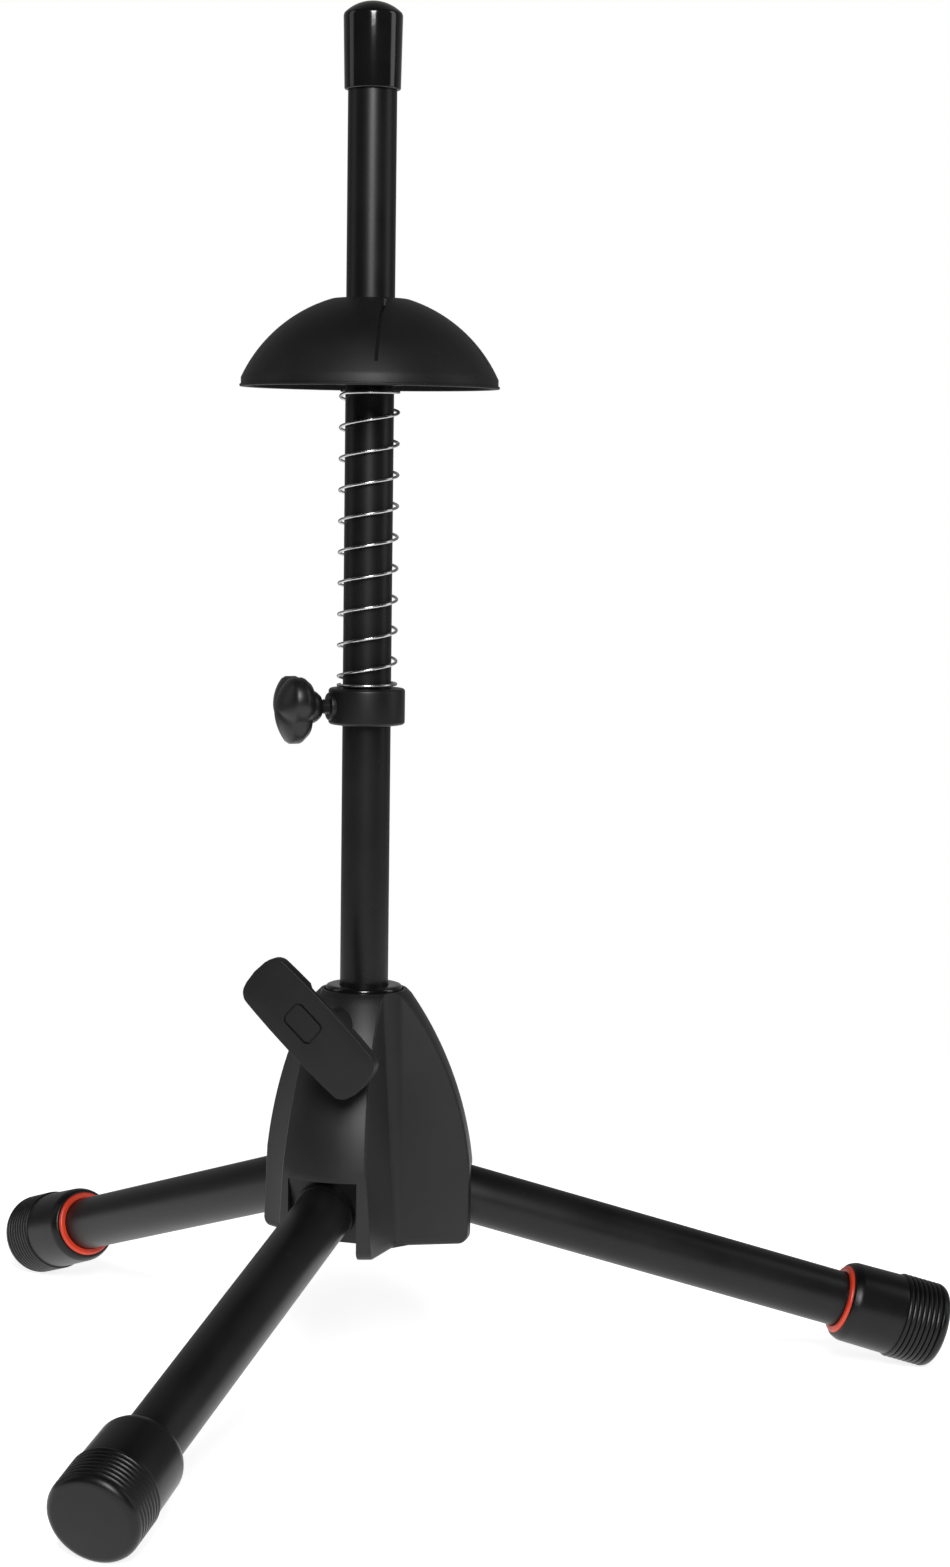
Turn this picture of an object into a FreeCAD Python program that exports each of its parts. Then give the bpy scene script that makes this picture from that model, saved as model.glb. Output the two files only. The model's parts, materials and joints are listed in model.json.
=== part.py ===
import FreeCAD, Part
import math
import os

# Folding tripod stand for a trumpet: a slim mast, a sprung rubber dome that the bell rests on,
# and a three-lobed leg housing. Millimetres, +Z up. The origin is on the floor, under the mast.
V = FreeCAD.Vector

# fits
touch_gap = 0.3                 # between moving faces that don't guide each other
running_gap = 0.07              # radial, on guides, pins and screws
stop_gap = 0.1                  # between a leg fitting and its stop

# mast
mast_radius = 8.0
mast_wall = 1.2
mast_length = 402.6
cap_top_wall = 1.67             # cap outside the mast, at its top and at its mouth
cap_mouth_wall = 1.19
cap_length = 28.4
cap_roof = 4.6
cap_crown = 4.2                 # height of the cap's domed top
cap_wall = 1.6
cap_mouth_round = 0.5
cap_edge = 0.8                  # blunt edge between the cap's side and its crown
plug_length = 14.0
plug_stub = 1.3                 # stands out of the mast's lower end
plug_shoulder = 0.3

# housing, measured from the level where the leg axes cross the mast axis
housing_below = 24.8
housing_above = 59.2
housing_radius = 36.9
housing_top_radius = 16.0
flank_bulge = 3.7               # how far the flank stands out from a straight line
flank_start = 2.0               # the flank starts this far above the crossing level
housing_foot_round = 3.0
housing_top_round = 1.6
lobe_low_half = 16.6            # half-width of a lobe at the housing's bottom
lobe_high_half = 11.1           # and at its top
lobe_edge_round = 1.0
valley_low = 20.3               # mast axis to the flat strip between two lobes, at the bottom
valley_high = 14.3              # and at the top
valley_strip_half = 5.0
slot_half_width = 12.0
slot_inner = 11.5               # mast axis to the slot's inner wall
slot_roof = 0.75                # above the crossing level
bore_wall_clear = 1.4           # housing bore outside the mast
pocket_half_width = 8.0         # hollow above each slot, open into it
pocket_height = 34.0
pocket_skin = 3.4

# bushes
ring_radius = 12.8
ring_rise = 1.5
ring_seat = 1.4
ring_gap = 0.5
ring_round = 1.3
ring_bend_share = 0.3          # the round is drawn as two flats meeting here
top_bush_length = 19.0
lower_bush_length = 11.0

# legs
leg_angle = 17.26               # below horizontal
leg_radius = 9.5
leg_wall = 1.2
leg_start = 35.5                # along the leg axis, from the mast axis
pivot_distance = 22.0           # mast axis to hinge pin, measured level
eye_radius = 7.4
pin_radius = 2.5
pin_bite = 1.8                  # pin length held in each slot wall
flange_wall = 0.7               # flange outside the leg tube
flange_length = 2.5
spigot_length = 24.0
names = {"front": -90.0, "right": 30.0, "left": 150.0}

# feet
foot_end = 211.0                # along the leg axis, from the mast axis
foot_length = 35.7
foot_wall = 5.0                 # between the leg tube's end and the foot's end
foot_grip_wall = 5.1            # foot outside the leg tube, at the ribs, mouth and shoulder
foot_mouth_wall = 3.1
foot_shoulder_wall = 4.2
foot_shoulder = 2.4
grip_length = 16.0              # ribbed part, up to the foot's end
grip_step = 0.3
foot_mouth_bend = 0.5
groove_count = 7
groove_depth = 0.55
groove_width = 0.8
foot_round = 1.5
foot_flat = 0.25                # depth of the flat that meets the floor
ring_wall = 2.2
ring_proud = 1.6
ring_depth = 4.4

# base cover
cover_thickness = 2.4
cover_screw_distance = 14.0
cover_screw_radius = 1.5
cover_head_radius = 2.9
cover_head_height = 1.6
cover_screw_length = 11.0
cover_drive_radius = 0.75
cover_drive_depth = 1.0

# mast clamp, on the front lobe
clamp_below_top = 8.4
clamp_screw_radius = 3.0
clamp_insert_radius = 4.4
clamp_insert_gap = 0.6          # housing wall left between the bush and the insert
clamp_insert_length = 6.2
shoe_length = 1.8
shoe_radius = 2.6
handle_face = 44.4              # mast axis to the handle's front face
handle_thickness = 4.4
handle_length = 51.5
handle_width = 18.6
handle_end_bulge = 1.8
handle_side_bulge = 0.8         # how far each long side bows out
handle_corner = 3.0
handle_edge_round = 1.1
handle_offset = 2.0             # the screw stands this far off the handle's middle
handle_angle = -42.8            # long axis against level, seen from outside
handle_hub_radius = 6.0
handle_hub_share = 0.392        # where the hub ends, between the housing's top and side radius
grip_radius = 20.0
grip_bite = 2.2
grip_depth = 2.2

# collar and its thumb screw
collar_rise = 88.2              # housing top to collar
collar_height = 12.0
collar_wall = 4.58
collar_round = 1.0
collar_boss_radius = 4.6
collar_boss_proud = 0.85
collar_screw_angle = -140.0
collar_screw_radius = 2.5
collar_insert_radius = 3.5
collar_insert_wall = 0.93       # collar left inside the insert
pad_length = 1.2
pad_radius = 2.0
knob_hub_start = 16.1
knob_back = 20.3
knob_face = 31.5
knob_edge = 27.2
knob_reach = 12.2
knob_lobe_radius = 7.8
knob_hub_radius = 5.7
knob_bore_end = 26.0
knob_hub_round = 1.2
knob_hub_small = 3.4            # radius of the hub's flat end
knob_hub_bend = 5.0
knob_taper = 2.4

# spring
spring_length = 98.4
spring_wire = 1.0
spring_clear = 1.6              # from the mast to the centre of the wire
spring_turns = 9.5
wire_sides = 8

# dome
dome_radius = 42.2
dome_height = 29.0
dome_top_radius = 12.2
dome_wall = 2.4
dome_arch = 4.3                 # arch of the dome above a straight cone
dome_band_height = 3.0
dome_lip = 0.45
dome_hub_radius = 11.6
dome_hub_up = 1.0               # hub end above the rim
slit_count = 5
slit_width = 1.1
slit_offset = 6.2               # the cuts pass this far beside the mast axis
slit_angle = -74.4
slit_start = 12.6
slit_bottom = 7.6               # above the rim

# sizes and levels worked out from those above
cap_top_radius = mast_radius + cap_top_wall
cap_mouth_radius = mast_radius + cap_mouth_wall
foot_radius = leg_radius + foot_grip_wall
foot_mouth_radius = leg_radius + foot_mouth_wall
foot_shoulder_radius = leg_radius + foot_shoulder_wall
ring_outer_radius = leg_radius + ring_wall
flange_radius = leg_radius + flange_wall
handle_hub_end = housing_top_radius + (housing_radius - housing_top_radius) * handle_hub_share
spring_radius = mast_radius + spring_clear
tilt = math.radians(leg_angle)
edge_along = foot_end - foot_round
edge_out = foot_radius - foot_round
crossing = (edge_along * math.sin(tilt) + edge_out * math.cos(tilt)) + foot_round - foot_flat
housing_bottom = crossing - housing_below
housing_top = crossing + housing_above
roof = crossing + slot_roof
foot_start = foot_end - foot_length
leg_end = foot_end - foot_wall
grip_start = foot_end - grip_length
mast_bottom = housing_bottom
mast_top = mast_bottom + mast_length
bore_radius = mast_radius + bore_wall_clear
guide_radius = mast_radius + running_gap
clamp_insert_start = bore_radius + clamp_insert_gap
collar_insert_start = guide_radius + collar_insert_wall
collar_radius = guide_radius + collar_wall
collar_boss_reach = collar_radius + collar_boss_proud
clamp_level = housing_top - clamp_below_top
collar_bottom = housing_top + collar_rise
collar_top = collar_bottom + collar_height
rim_level = collar_top + spring_length
dome_top = rim_level + dome_height
pivot_drop = pivot_distance * math.tan(tilt)
cover_top = housing_bottom + cover_thickness


# helpers

def solid_of(edges, start, direction):
    """A closed outline turned into a solid ring or disc about an axis."""
    face = Part.Face(Part.Wire(edges))
    return face.revolve(start, direction, 360)


def line(a, b):
    return Part.makeLine(a, b)


def arc(a, b, c):
    return Part.Arc(a, b, c).toShape()


def outline(points):
    """Straight edges through points, closed."""
    return [line(a, b) for a, b in zip(points, points[1:] + points[:1])]


def turned(pairs):
    """Solid of revolution about Z from (radius, height) corners."""
    return solid_of(outline([V(r, 0, z) for r, z in pairs]), V(0, 0, 0), V(0, 0, 1))


def turned_x(pairs):
    """Solid of revolution about X from (place along X, radius) corners."""
    return solid_of(outline([V(x, 0, r) for x, r in pairs]), V(0, 0, 0), V(1, 0, 0))


def disc(radius, low, high):
    return Part.makeCylinder(radius, high - low, V(0, 0, low))


def rod(radius, start, end):
    """Cylinder along X."""
    return Part.makeCylinder(radius, end - start, V(start, 0, 0), V(1, 0, 0))


def tube(outer, inner, low, high):
    return disc(outer, low, high).cut(disc(inner, low, high))


def block(low, high):
    size = high - low
    return Part.makeBox(size.x, size.y, size.z, low)


def around(shape, angle, lift=0.0):
    """Turn a shape made along +X to its own direction, and lift it."""
    copy = shape.copy()
    copy.rotate(V(0, 0, 0), V(0, 0, 1), angle)
    copy.translate(V(0, 0, lift))
    return copy


def on_leg(shape, angle):
    """Tilt a shape made along +X down to the leg's slope, then place it."""
    copy = shape.copy()
    copy.rotate(V(0, 0, 0), V(0, 1, 0), leg_angle)
    return around(copy, angle, crossing)


def rounded(shape, radius, wanted):
    """Round the edges that wanted(edge) picks."""
    edges = [edge for edge in shape.Edges if wanted(edge)]
    return shape.makeFillet(radius, edges) if edges else shape


def is_level(edge, level):
    box = edge.BoundBox
    return abs(box.ZMin - level) < 1e-4 and abs(box.ZMax - level) < 1e-4


def save(name, shape):
    shape.exportStep("parts/" + name + ".step")


# mast

def mast_tube():
    return tube(mast_radius, mast_radius - mast_wall, mast_bottom, mast_top)


def crown_radius(width, height):
    """Radius of the sphere whose cap has this half-width and height."""
    return (width ** 2 + height ** 2) / (2 * height)


def mast_cap():
    low = mast_top + cap_roof - cap_length
    high = mast_top + cap_roof
    shoulder = high - cap_crown
    sphere = crown_radius(cap_top_radius - cap_edge, cap_crown)
    centre = high - sphere
    half = (cap_top_radius - cap_edge) / 2
    side = [V(0, 0, low), V(cap_mouth_radius - cap_mouth_round, 0, low),
            V(cap_mouth_radius, 0, low + cap_mouth_round), V(cap_top_radius, 0, shoulder - cap_edge),
            V(cap_top_radius - cap_edge, 0, shoulder)]
    crown = arc(side[-1], V(half, 0, centre + math.sqrt(sphere ** 2 - half ** 2)), V(0, 0, high))
    edges = [line(a, b) for a, b in zip(side, side[1:])] + [crown, line(V(0, 0, high), side[0])]
    skin = solid_of(edges, V(0, 0, 0), V(0, 0, 1))
    hollow = Part.makeSphere(sphere - cap_wall, V(0, 0, centre)).common(
        disc(mast_radius - mast_wall, mast_top, high))
    return skin.cut(disc(mast_radius, low, mast_top)).cut(hollow)


def mast_plug():
    low = mast_bottom - plug_stub
    stub_radius = mast_radius - mast_wall - plug_shoulder
    return disc(mast_radius - mast_wall, mast_bottom, mast_bottom + plug_length - plug_stub).fuse(
        turned([(0, low), (stub_radius - plug_shoulder, low), (stub_radius, low + plug_shoulder),
                (stub_radius, mast_bottom), (0, mast_bottom)])).removeSplitter()


# leg housing

def flank(inset, low, high, top_round):
    """Solid of revolution inside the housing's outside, moved in by inset."""
    wide = housing_radius - inset
    narrow = housing_top_radius - inset
    shoulder = crossing + flank_start
    foot = 0 if inset else housing_foot_round
    chord = V(narrow - wide, 0, high - top_round - shoulder)
    normal = V(chord.z, 0, -chord.x).normalize()
    corner = V(wide, 0, shoulder)
    middle = corner + chord * 0.5 + normal * flank_bulge
    last = corner + chord
    edges = [line(V(0, 0, low), V(wide - foot, 0, low))]
    if foot:
        bend = foot * (1 - math.sqrt(0.5))
        edges.append(arc(V(wide - foot, 0, low), V(wide - bend, 0, low + bend), V(wide, 0, low + foot)))
    edges.append(line(V(wide, 0, low + foot), corner))
    edges.append(arc(corner, middle, last))
    if top_round:
        edges.append(line(last, V(narrow - top_round, 0, high)))
        edges.append(line(V(narrow - top_round, 0, high), V(0, 0, high)))
    else:
        edges.append(line(last, V(0, 0, high)))
    edges.append(line(V(0, 0, high), V(0, 0, low)))
    return solid_of(edges, V(0, 0, 0), V(0, 0, 1))


def between(low_value, high_value, level):
    """A size that changes evenly from the housing's bottom to its top."""
    share = (level - housing_bottom) / (housing_top - housing_bottom)
    return low_value + (high_value - low_value) * share


def lobe_half(level):
    return between(lobe_low_half, lobe_high_half, level)


def valley_distance(level):
    return between(valley_low, valley_high, level)


def lobed_body():
    """The whole three-lobed outside: lobes that narrow upward, a leaning flat strip in each valley."""
    reach = housing_radius * 1.5
    low, high = housing_bottom, housing_top
    plan = disc(mast_radius, low, high)
    for angle in names.values():
        side = [V(0, -lobe_low_half, low), V(0, lobe_low_half, low),
                V(0, lobe_high_half, high), V(0, -lobe_high_half, high)]
        slab = Part.Face(Part.Wire(outline(side))).extrude(V(reach, 0, 0))
        lean = [V(0, -valley_strip_half, low), V(valley_low, -valley_strip_half, low),
                V(valley_high, -valley_strip_half, high), V(0, -valley_strip_half, high)]
        strip = Part.Face(Part.Wire(outline(lean))).extrude(V(0, 2 * valley_strip_half, 0))
        plan = plan.fuse(around(slab, angle)).fuse(around(strip, angle + 60))
    body = flank(0, low, high, housing_top_round).common(plan.removeSplitter())
    return rounded(body, lobe_edge_round, is_lobe_edge)


def level_slab(low, high):
    """A block wide enough to cut the whole housing at two levels."""
    reach = housing_radius * 1.5
    return block(V(-reach, -reach, low), V(reach, reach, high))


def leg_slots(low, high):
    reach = housing_radius * 1.5
    shapes = [around(block(V(slot_inner, -slot_half_width, low), V(reach, slot_half_width, high)), angle)
              for angle in names.values()]
    return shapes[0].fuse(shapes[1:])


def pin_grooves(low):
    """Upright grooves in the slot walls that the hinge pins drop into from below."""
    radius = pin_radius + running_gap
    half = slot_half_width + pin_bite + running_gap
    level = crossing - pivot_drop
    shapes = []
    for angle in names.values():
        groove = block(V(pivot_distance - radius, -half, low), V(pivot_distance + radius, half, level))
        crown = Part.makeCylinder(radius, 2 * half, V(pivot_distance, -half, level), V(0, 1, 0))
        shapes.append(around(groove.fuse(crown), angle))
    return shapes[0].fuse(shapes[1:])


def cover_screw_places():
    return [around(Part.Vertex(cover_screw_distance, 0, 0), angle + 60).Vertexes[0].Point
            for angle in names.values()]


def housing():
    body = lobed_body().cut(leg_slots(housing_bottom, roof))
    inner = flank(pocket_skin, crossing, housing_top, 0).common(level_slab(crossing, roof + pocket_height))
    for angle in names.values():
        hollow = block(V(slot_inner + pocket_skin, -pocket_half_width, crossing),
                       V(housing_radius, pocket_half_width, roof + pocket_height))
        body = body.cut(around(hollow, angle).common(inner))
    body = body.cut(disc(bore_radius, housing_bottom, housing_top))
    body = body.cut(disc(ring_radius + ring_gap, housing_top - ring_seat, housing_top))
    body = body.cut(pin_grooves(housing_bottom))
    body = body.cut(level_slab(housing_bottom, cover_top))
    screw = rod(clamp_screw_radius + running_gap, 0, housing_radius)
    insert = rod(clamp_insert_radius, 0, clamp_insert_start + clamp_insert_length)
    body = body.cut(around(screw.fuse(insert), names["front"], clamp_level))
    for place in cover_screw_places():
        low = place + V(0, 0, housing_bottom)
        body = body.cut(Part.makeCylinder(cover_screw_radius, cover_screw_length, low))
    return body.removeSplitter()


def is_lobe_edge(edge):
    """The long outer edges of the lobes, where the side meets the turned outside."""
    box = edge.BoundBox
    if box.ZLength < 5 or is_level(edge, housing_top):
        return False
    middle = edge.valueAt((edge.FirstParameter + edge.LastParameter) / 2)
    for angle in names.values():
        across = V(-math.sin(math.radians(angle)), math.cos(math.radians(angle)), 0)
        out = V(math.cos(math.radians(angle)), math.sin(math.radians(angle)), 0)
        on_side = abs(abs(middle.dot(across)) - lobe_half(middle.z)) < 1e-3
        if on_side and middle.dot(out) > lobe_half(middle.z) and middle.dot(out) > mast_radius:
            return True
    return False


def base_cover():
    plate = lobed_body().common(level_slab(housing_bottom, cover_top))
    plate = plate.cut(leg_slots(housing_bottom, cover_top))
    half = slot_half_width + pin_bite
    width = pin_radius - running_gap
    high = crossing - pivot_drop - pin_radius - running_gap
    for angle in names.values():
        near = slot_half_width + running_gap
        for low_side, high_side in ((-half, -near), (near, half)):
            prong = block(V(pivot_distance - width, low_side, housing_bottom),
                          V(pivot_distance + width, high_side, high))
            plate = plate.fuse(around(prong, angle))
    plate = plate.cut(disc(mast_radius + touch_gap, housing_bottom, cover_top))
    for place in cover_screw_places():
        low = place + V(0, 0, housing_bottom)
        plate = plate.cut(Part.makeCylinder(cover_screw_radius, cover_thickness, low))
        plate = plate.cut(Part.makeCone(cover_head_radius, cover_screw_radius, cover_head_height, low))
    return plate.removeSplitter()


def cover_screws():
    shapes = []
    for place in cover_screw_places():
        low = place + V(0, 0, housing_bottom)
        head = Part.makeCone(cover_head_radius, cover_screw_radius, cover_head_height, low)
        drive = Part.makeCylinder(cover_drive_radius, cover_drive_depth, low)
        shank = Part.makeCylinder(cover_screw_radius, cover_screw_length, low)
        shapes.append(head.fuse(shank).cut(drive).removeSplitter())
    return Part.makeCompound(shapes)


def top_bush():
    seat = housing_top - ring_seat
    high = housing_top + ring_rise
    low = housing_top - top_bush_length
    bend = ring_round * ring_bend_share
    sleeve = turned([(guide_radius, low), (bore_radius, low), (bore_radius, seat), (ring_radius, seat),
                     (ring_radius, high - ring_round), (ring_radius - bend, high - bend),
                     (ring_radius - ring_round, high), (guide_radius, high)])
    hole = rod(clamp_screw_radius + running_gap, 0, ring_radius)
    return sleeve.cut(around(hole, names["front"], clamp_level))


def lower_bush():
    return tube(bore_radius, guide_radius, cover_top, cover_top + lower_bush_length)


def pivot_pin(angle):
    half = slot_half_width + pin_bite
    pin = Part.makeCylinder(pin_radius, 2 * half, V(pivot_distance, -half, -pivot_drop), V(0, 1, 0))
    return around(pin, angle, crossing)


# legs

def leg_fitting(angle):
    """Hinge eye, stop flat, collar and spigot. Its top flat meets the slot's roof when splayed."""
    half = slot_half_width - touch_gap
    pivot = V(pivot_distance, -half, -pivot_drop)
    along = V(math.cos(tilt), 0, -math.sin(tilt))
    up = V(math.sin(tilt), 0, math.cos(tilt))
    start = leg_start - flange_length
    eye_top = min(eye_radius, slot_roof - stop_gap + pivot_drop)
    top = pivot + V(0, 0, eye_top)
    rise = (top.z + start * math.sin(tilt)) / math.cos(tilt)
    corners = [top, along * start + up * rise + V(0, -half, 0),
               along * start - up * leg_radius + V(0, -half, 0), pivot - up * eye_top]
    arm = Part.Face(Part.Wire(outline(corners))).extrude(V(0, 2 * half, 0))
    eye = Part.makeCylinder(eye_top, 2 * half, pivot, V(0, 1, 0))
    hole = Part.makeCylinder(pin_radius + running_gap, 2 * half, pivot, V(0, 1, 0))
    collar = rod(flange_radius, start, leg_start).fuse(
        rod(leg_radius - leg_wall, leg_start, leg_start + spigot_length))
    collar.rotate(V(0, 0, 0), V(0, 1, 0), leg_angle)
    return around(arm.fuse(eye).fuse(collar).cut(hole).removeSplitter(), angle, crossing)


def leg_tube(angle):
    shape = rod(leg_radius, leg_start, leg_end).cut(rod(leg_radius - leg_wall, leg_start, leg_end))
    return on_leg(shape, angle)


def foot(angle):
    taper_end = foot_start + foot_shoulder
    grip_end = edge_along - foot_round
    pitch = (grip_end - grip_start) / groove_count
    pairs = [(foot_start, 0), (foot_start, foot_mouth_radius - foot_mouth_bend),
             (foot_start + foot_mouth_bend, foot_mouth_radius), (taper_end, foot_shoulder_radius), (grip_start - pitch, foot_shoulder_radius + grip_step),
             (grip_start, foot_radius)]
    for groove in range(groove_count):
        middle = grip_start + (groove + 0.5) * pitch
        pairs += [(middle - groove_width / 2, foot_radius), (middle, foot_radius - groove_depth),
                  (middle + groove_width / 2, foot_radius)]
    edges = [line(V(a[0], 0, a[1]), V(b[0], 0, b[1])) for a, b in zip(pairs, pairs[1:])]
    bend = foot_round * math.sqrt(0.5)
    edges += [line(V(pairs[-1][0], 0, foot_radius), V(edge_along, 0, foot_radius)),
              arc(V(edge_along, 0, foot_radius), V(edge_along + bend, 0, edge_out + bend),
                  V(foot_end, 0, edge_out)),
              line(V(foot_end, 0, edge_out), V(foot_end, 0, 0)), line(V(foot_end, 0, 0), V(foot_start, 0, 0))]
    shape = solid_of(edges, V(0, 0, 0), V(1, 0, 0))
    shape = shape.cut(rod(leg_radius, foot_start, leg_end))
    shape = shape.cut(rod(ring_outer_radius, foot_start, foot_start + ring_depth))
    placed = on_leg(shape, angle)
    reach = foot_end + foot_radius
    return placed.cut(block(V(-reach, -reach, -foot_radius), V(reach, reach, 0)))


def foot_ring(angle):
    low = foot_start - ring_proud
    edge = ring_proud * 0.5
    shape = turned_x([(low, leg_radius), (low, ring_outer_radius - edge), (low + edge, ring_outer_radius),
                      (foot_start + ring_depth, ring_outer_radius), (foot_start + ring_depth, leg_radius)])
    return on_leg(shape, angle)


# mast clamp

def clamp_insert():
    shape = rod(clamp_insert_radius, clamp_insert_start, clamp_insert_start + clamp_insert_length).cut(
        rod(clamp_screw_radius + running_gap, 0, handle_face))
    return around(shape, names["front"], clamp_level)


def clamp_shoe():
    shape = rod(shoe_radius, guide_radius, guide_radius + shoe_length)
    return around(shape, names["front"], clamp_level)


def clamp_screw():
    start = guide_radius + shoe_length
    end = handle_face - handle_thickness / 2
    return around(rod(clamp_screw_radius, start, end), names["front"], clamp_level)


def clamp_handle():
    half = handle_length / 2
    side = handle_width / 2
    back = handle_face - handle_thickness
    corner = half - handle_end_bulge
    bow = side + handle_side_bulge
    ends = [V(back, -corner, -side), V(back, corner, -side), V(back, corner, side), V(back, -corner, side)]
    edges = [arc(ends[0], V(back, 0, -bow), ends[1]), arc(ends[1], V(back, half, 0), ends[2]),
             arc(ends[2], V(back, 0, bow), ends[3]), arc(ends[3], V(back, -half, 0), ends[0])]
    bar = Part.Face(Part.Wire(edges)).extrude(V(handle_thickness, 0, 0))
    bar = rounded(bar, handle_corner, lambda edge: edge.BoundBox.XLength > handle_thickness / 2)
    bar = rounded(bar, handle_edge_round, lambda edge: edge.BoundBox.XMin > handle_face - 1e-3)
    for sign in (-1, 1):
        bite = Part.makeCylinder(grip_radius, grip_depth, V(back, 0, sign * (side + grip_radius - grip_bite)),
                                 V(1, 0, 0))
        bar = bar.cut(bite)
    bar.translate(V(0, -handle_offset, 0))
    shape = bar.fuse(rod(handle_hub_radius, handle_hub_end, back))
    shape = shape.cut(rod(clamp_screw_radius, 0, handle_face - handle_thickness / 2)).removeSplitter()
    shape.rotate(V(0, 0, 0), V(1, 0, 0), handle_angle)
    return around(shape, names["front"], clamp_level)


# collar and thumb screw

collar_screw_level = collar_bottom + collar_height / 2


def collar():
    ring = tube(collar_radius, guide_radius, collar_bottom, collar_top)
    ring = rounded(ring, collar_round, is_collar_edge)
    boss = around(rod(collar_boss_radius, collar_insert_start, collar_boss_reach),
                  collar_screw_angle, collar_screw_level)
    hole = rod(collar_screw_radius + running_gap, 0, collar_boss_reach).fuse(
        rod(collar_insert_radius, collar_insert_start, collar_boss_reach))
    return ring.fuse(boss).cut(around(hole, collar_screw_angle, collar_screw_level)).removeSplitter()


def is_collar_edge(edge):
    wide = edge.BoundBox.XLength > 2 * collar_radius - 1
    return wide and (is_level(edge, collar_bottom) or is_level(edge, collar_top))


def collar_insert():
    shape = rod(collar_insert_radius, collar_insert_start, collar_radius).cut(
        rod(collar_screw_radius + running_gap, 0, knob_face))
    return around(shape, collar_screw_angle, collar_screw_level)


def collar_pad():
    shape = rod(pad_radius, guide_radius, guide_radius + pad_length)
    return around(shape, collar_screw_angle, collar_screw_level)


def collar_screw():
    shape = rod(collar_screw_radius, guide_radius + pad_length, knob_bore_end)
    return around(shape, collar_screw_angle, collar_screw_level)


def collar_knob():
    """Three-lobed knob: round lobes inside a domed and tapered turned shape."""
    centre = knob_reach - knob_lobe_radius
    lobes = rod(knob_lobe_radius, knob_back, knob_face)
    for turn in (0, 120, 240):
        lobe = Part.makeCylinder(knob_lobe_radius, knob_face - knob_back, V(knob_back, 0, -centre),
                                 V(1, 0, 0))
        lobe.rotate(V(0, 0, 0), V(1, 0, 0), turn)
        lobes = lobes.fuse(lobe)
    sag = knob_face - knob_edge
    sphere = crown_radius(knob_reach, sag)
    half = knob_reach / 2
    crown = V(knob_face - sphere + math.sqrt(sphere ** 2 - half ** 2), 0, half)
    back = [V(knob_face, 0, 0), V(knob_back, 0, 0), V(knob_back, 0, knob_reach - knob_taper),
            V(knob_back + knob_taper, 0, knob_reach), V(knob_edge, 0, knob_reach)]
    edges = [line(a, b) for a, b in zip(back, back[1:])] + [arc(back[-1], crown, back[0])]
    lens = solid_of(edges, V(0, 0, 0), V(1, 0, 0))
    hub = turned_x([(knob_hub_start, 0), (knob_hub_start, knob_hub_small),
                    (knob_hub_start + knob_hub_round, knob_hub_bend), (knob_back, knob_hub_radius),
                    (knob_back, 0)])
    shape = lobes.common(lens).fuse(hub)
    shape = shape.cut(rod(collar_screw_radius, 0, knob_bore_end)).removeSplitter()
    return around(shape, collar_screw_angle, collar_screw_level)


# spring and dome

def spring():
    """Evenly wound coil, its round wire simplified to a many-sided bar."""
    half = spring_wire / 2
    pitch = (spring_length - spring_wire - 2 * touch_gap) / spring_turns
    helix = Part.makeHelix(pitch, pitch * spring_turns, spring_radius)
    rise = math.atan2(pitch, 2 * math.pi * spring_radius)
    corners = []
    for corner in range(wire_sides):
        turn = 2 * math.pi * (corner + 0.5) / wire_sides
        out = half * math.cos(turn)
        up = half * math.sin(turn)
        corners.append(V(spring_radius + out, -up * math.sin(rise), up * math.cos(rise)))
    profile = Part.Wire(outline(corners))
    coil = Part.Wire(helix.Edges).makePipeShell([profile], True, True)
    coil.translate(V(0, 0, collar_top + half + touch_gap))
    return coil


def dome_profile(inset, low):
    """Domed solid of revolution, moved in by inset, cut off flat at low."""
    wide = dome_radius - inset
    top = dome_top - inset
    band = V(wide, 0, rim_level + dome_band_height)
    edge = V(dome_top_radius, 0, top)
    chord = edge - band
    normal = V(chord.z, 0, -chord.x).normalize()
    middle = band + chord * 0.5 + normal * dome_arch
    edges = [line(V(0, 0, low), V(wide, 0, low)), line(V(wide, 0, low), band), arc(band, middle, edge),
             line(edge, V(0, 0, top)), line(V(0, 0, top), V(0, 0, low))]
    return solid_of(edges, V(0, 0, 0), V(0, 0, 1))


def bell_dome():
    shell = dome_profile(0, rim_level).cut(dome_profile(dome_wall, rim_level))
    lip = tube(dome_radius + dome_lip, dome_radius - dome_wall, rim_level, rim_level + dome_lip * 2)
    hub = disc(dome_hub_radius, rim_level + dome_hub_up, dome_top - dome_wall / 2)
    body = shell.fuse(lip).fuse(hub).cut(disc(mast_radius + touch_gap, rim_level, dome_top))
    for cut in range(slit_count):
        slit = block(V(slit_start, slit_offset - slit_width / 2, rim_level + slit_bottom),
                     V(dome_radius * 1.5, slit_offset + slit_width / 2, dome_top))
        body = body.cut(around(slit, slit_angle + cut * 360 / slit_count))
    return body.removeSplitter()


os.makedirs("parts", exist_ok=True)
save("mast_tube", mast_tube())
save("mast_cap", mast_cap())
save("mast_plug", mast_plug())
save("housing", housing())
save("base_cover", base_cover())
save("cover_screws", cover_screws())
save("top_bush", top_bush())
save("lower_bush", lower_bush())
save("clamp_insert", clamp_insert())
save("clamp_shoe", clamp_shoe())
save("clamp_screw", clamp_screw())
save("clamp_handle", clamp_handle())
save("collar", collar())
save("collar_insert", collar_insert())
save("collar_pad", collar_pad())
save("collar_screw", collar_screw())
save("collar_knob", collar_knob())
save("spring", spring())
save("bell_dome", bell_dome())
for side, direction in names.items():
    save(side + "_pivot_pin", pivot_pin(direction))
    save(side + "_leg_fitting", leg_fitting(direction))
    save(side + "_leg_tube", leg_tube(direction))
    save(side + "_foot", foot(direction))
    save(side + "_foot_ring", foot_ring(direction))
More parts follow.
